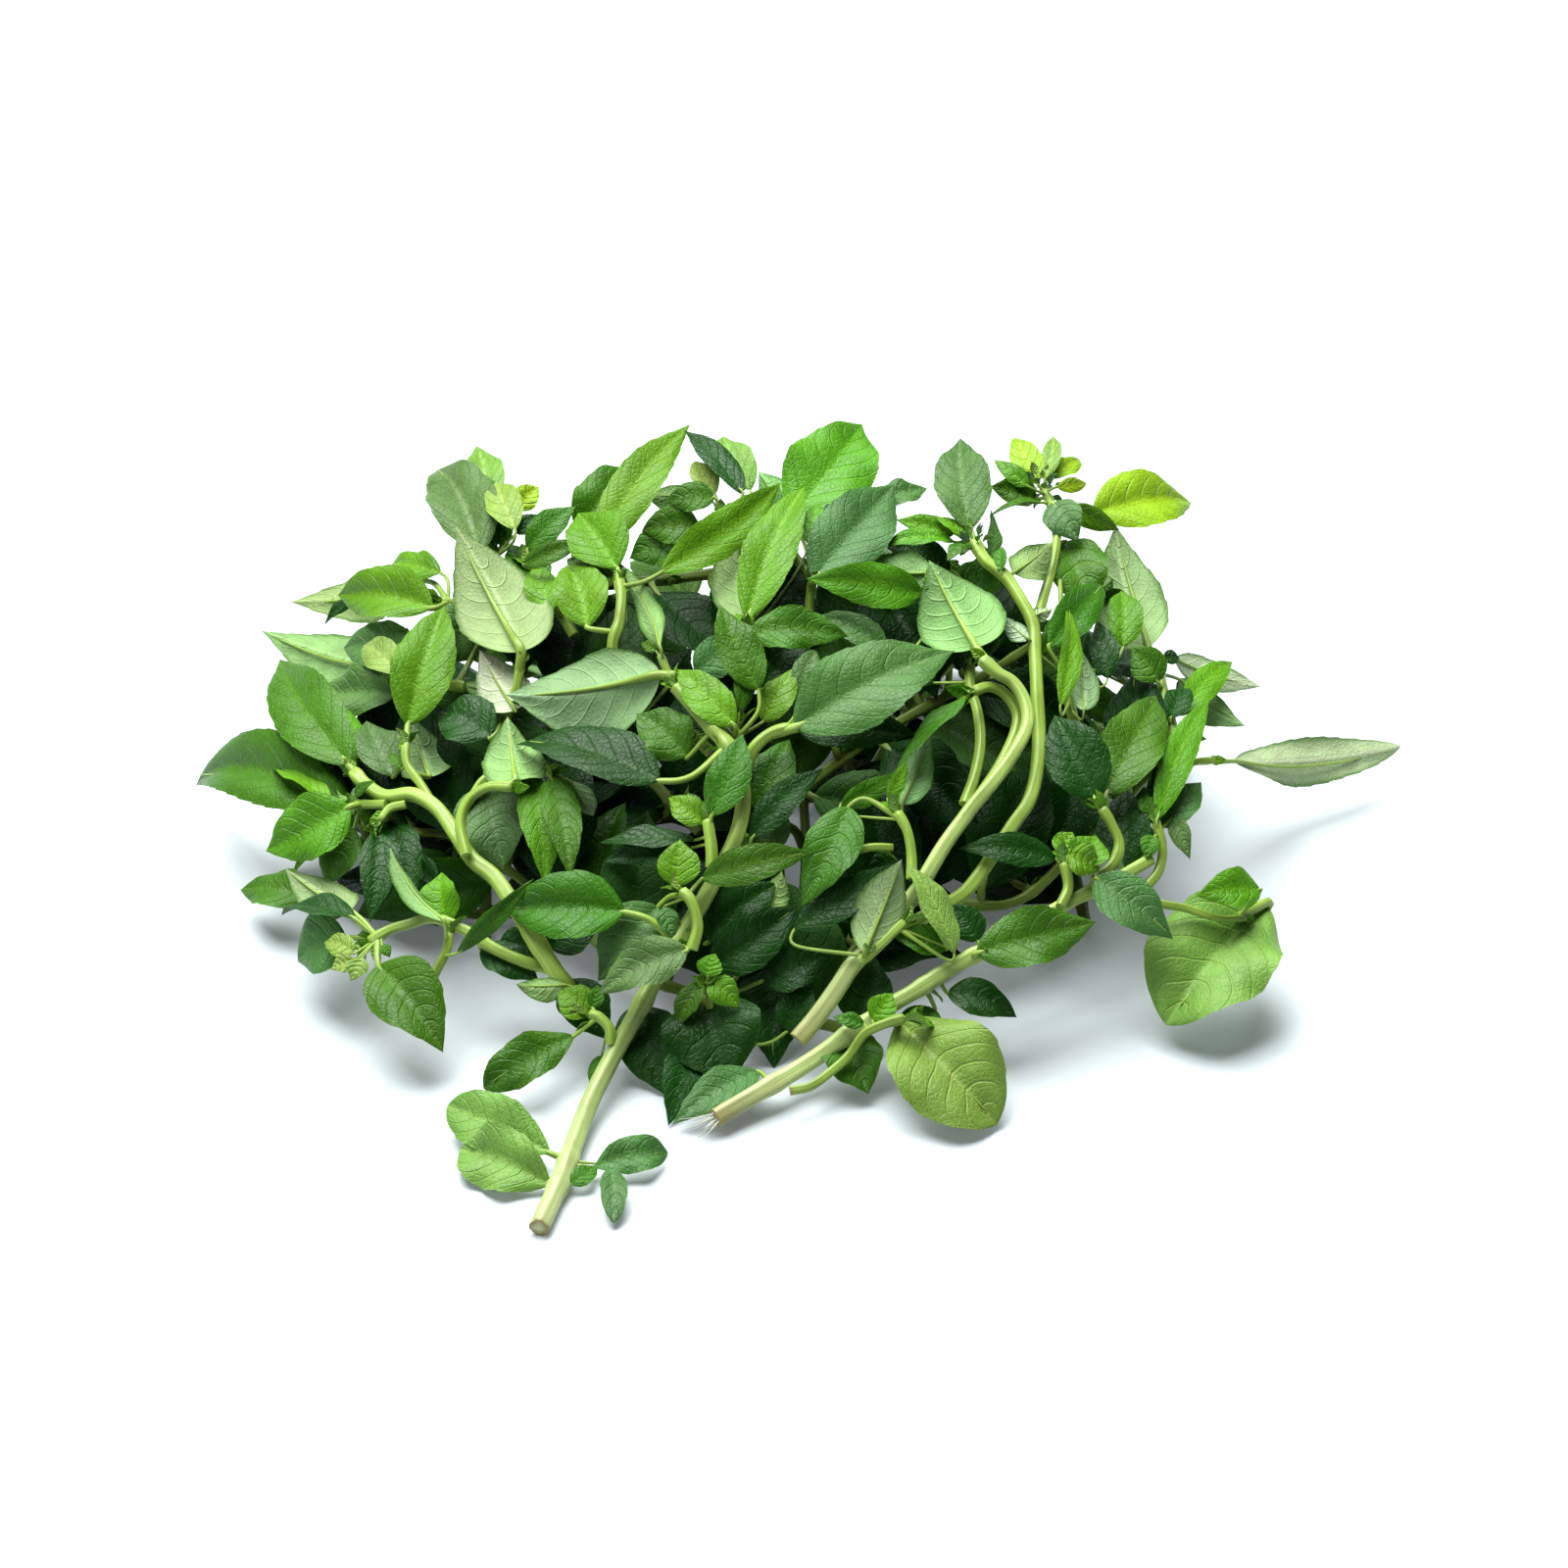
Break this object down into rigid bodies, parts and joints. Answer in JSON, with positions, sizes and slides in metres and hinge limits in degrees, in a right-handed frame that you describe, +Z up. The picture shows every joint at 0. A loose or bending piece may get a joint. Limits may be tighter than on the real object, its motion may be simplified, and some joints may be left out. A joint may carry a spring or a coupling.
{
  "type": "basil bunch",
  "caption": "Loose heap of fresh-cut basil lying on its side: square stems with folded, pointed oval leaves, side shoots and small flowering tips.",
  "frame": {"origin": "middle of the bunch's footprint, on the surface that it lies on", "axes": "+X across the bunch, along its longest side; +Y from the cut stem ends towards the high side of the heap; +Z up"},
  "size_m": [0.3214, 0.2519, 0.0951],
  "materials": {
    "stem": "smooth fresh pale green plant stem, slightly glossy",
    "leaf": "fresh green leaf, satin, softly quilted",
    "leaf_young": "young yellow-green leaf, satin",
    "leaf_pale": "pale matt leaf underside with raised veins"
  },
  "bodies": {
    "root": {"branch_right_foot": "leaf_young", "leaf_centre": "leaf", "leaf_curled_right": "leaf_young", "leaf_far_right": "leaf_pale", "leaf_folded": "leaf_pale", "leaf_left_arched": "leaf_pale", "leaf_left_pale": "leaf_pale", "leaf_pale_big": "leaf_pale", "leaf_top_long": "leaf", "shoot_back_1": "leaf_pale", "shoot_back_2": "leaf", "shoot_back_3": "leaf_pale", "shoot_back_4": "leaf", "shoot_back_5": "leaf", "shoot_back_left": "leaf", "shoot_back_mid": "leaf", "shoot_bed_1": "leaf", "shoot_bed_2": "leaf", "shoot_bed_3": "leaf", "shoot_centre": "leaf", "shoot_curled_top": "leaf", "shoot_dark_front": "leaf", "shoot_deep_1": "leaf", "shoot_deep_2": "leaf", "shoot_deep_3": "leaf", "shoot_deep_4": "leaf", "shoot_deep_5": "leaf", "shoot_far_left": "leaf_young", "shoot_far_right_low": "leaf", "shoot_foot": "leaf", "shoot_front_small": "leaf", "shoot_front_upper": "leaf", "shoot_inner_mid": "leaf", "shoot_inner_right": "leaf", "shoot_left_hanging": "leaf", "shoot_left_inner": "leaf", "shoot_left_tip": "leaf", "shoot_left_upright": "leaf", "shoot_low_left_upright": "leaf_pale", "shoot_pair_right": "leaf", "shoot_right_front": "leaf_pale", "shoot_right_upper": "leaf", "shoot_round": "leaf", "shoot_top_left": "leaf", "shoot_top_mid": "leaf", "shoot_top_mid_left": "leaf", "shoot_top_right": "leaf", "stalk_bowed": "leaf", "stem_arch_inner": "stem", "stem_back_left": "stem", "stem_far_right": "stem", "stem_flower_tip": "stem", "stem_flowering": "stem", "stem_front": "stem", "stem_left": "stem", "stem_low_left": "stem", "stem_middle": "stem", "stem_right": "stem", "stem_thin": "stem", "stub_broken": "leaf"}
  },
  "joints": []
}
